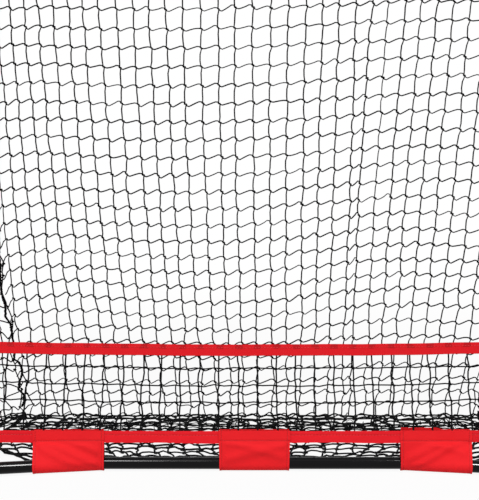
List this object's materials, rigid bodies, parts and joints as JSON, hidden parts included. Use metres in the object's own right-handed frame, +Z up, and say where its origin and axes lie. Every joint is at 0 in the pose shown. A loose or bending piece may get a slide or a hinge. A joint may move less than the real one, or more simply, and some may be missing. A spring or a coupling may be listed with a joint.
{
  "type": "golf chipping net",
  "caption": "Free-standing golf chipping net: bow frame on a bent tube base, black net bag that trails behind, low ball fence and red fabric sleeves.",
  "frame": {"origin": "middle of the footprint, on the ground", "axes": "+X to the player's right along the base bar, +Y away from the player into the net bag, +Z up"},
  "size_m": [1.2152, 0.4325, 1.1859],
  "materials": {
    "tube_paint": "gloss black enamel",
    "insert_steel": "bright zinc plate",
    "foot_plastic": "satin black moulding",
    "button_steel": "plated",
    "spring_steel": "spring steel",
    "pole_fibreglass": "black fibreglass",
    "ferrule_steel": "drawn steel",
    "elastic_cord": "braided elastic",
    "plug_plastic": "moulded",
    "red_cloth": "woven polyester, red",
    "red_tape": "woven binding tape, red",
    "net_cord": "knotted black nylon net"
  },
  "bodies": {
    "net_frame": {"base_bar_center": "tube_paint", "arm_tube_left": "tube_paint", "arm_tube_right": "tube_paint", "tube_insert_left": "insert_steel", "tube_insert_right": "insert_steel", "insert_rivets": "insert_steel", "foot_left": "foot_plastic", "foot_right": "foot_plastic", "button_spring_center_left": "spring_steel", "button_spring_center_right": "spring_steel", "button_spring_foot_left": "spring_steel", "button_spring_foot_right": "spring_steel", "pole_left_lower": "pole_fibreglass", "pole_left_upper": "pole_fibreglass", "pole_left_top": "pole_fibreglass", "pole_right_top": "pole_fibreglass", "pole_right_upper": "pole_fibreglass", "pole_right_lower": "pole_fibreglass", "pole_tip_left": "ferrule_steel", "pole_tip_right": "ferrule_steel", "pole_ferrules": "ferrule_steel", "shock_cord": "elastic_cord", "shock_cord_plugs": "plug_plastic", "bow_sleeve_left": "red_cloth", "bow_sleeve_top": "red_cloth", "bow_sleeve_right": "red_cloth", "back_net": "net_cord", "side_net_left": "net_cord", "side_net_right": "net_cord", "floor_net": "net_cord", "fence_net": "net_cord", "fence_band": "red_tape", "fence_strip": "red_tape", "base_sleeve_left": "red_cloth", "base_sleeve_center": "red_cloth", "base_sleeve_right": "red_cloth", "seam_cord_left": "net_cord", "seam_cord_right": "net_cord", "corner_knot_left": "net_cord", "corner_knot_right": "net_cord", "gathered_net": "net_cord"},
    "button_center_left": {"button_center_left": "button_steel"},
    "button_center_right": {"button_center_right": "button_steel"},
    "button_foot_left": {"button_foot_left": "button_steel"},
    "button_foot_right": {"button_foot_right": "button_steel"}
  },
  "joints": [
    {"name": "press_center_left", "type": "slide", "parent": "net_frame", "child": "button_center_left", "axis": [0.2079, -0.9781, 0], "range_m": [0, 0.0028], "stiffness_N_per_m": 4000, "deforming": ["button_spring_center_left"]},
    {"name": "press_center_right", "type": "slide", "parent": "net_frame", "child": "button_center_right", "axis": [-0.2079, -0.9781, 0], "range_m": [0, 0.0028], "stiffness_N_per_m": 4000, "deforming": ["button_spring_center_right"]},
    {"name": "press_foot_left", "type": "slide", "parent": "net_frame", "child": "button_foot_left", "axis": [0.2079, -0.9781, 0], "range_m": [0, 0.0056], "stiffness_N_per_m": 2000, "deforming": ["button_spring_foot_left"]},
    {"name": "press_foot_right", "type": "slide", "parent": "net_frame", "child": "button_foot_right", "axis": [-0.2079, -0.9781, 0], "range_m": [0, 0.0056], "stiffness_N_per_m": 2000, "deforming": ["button_spring_foot_right"]}
  ]
}
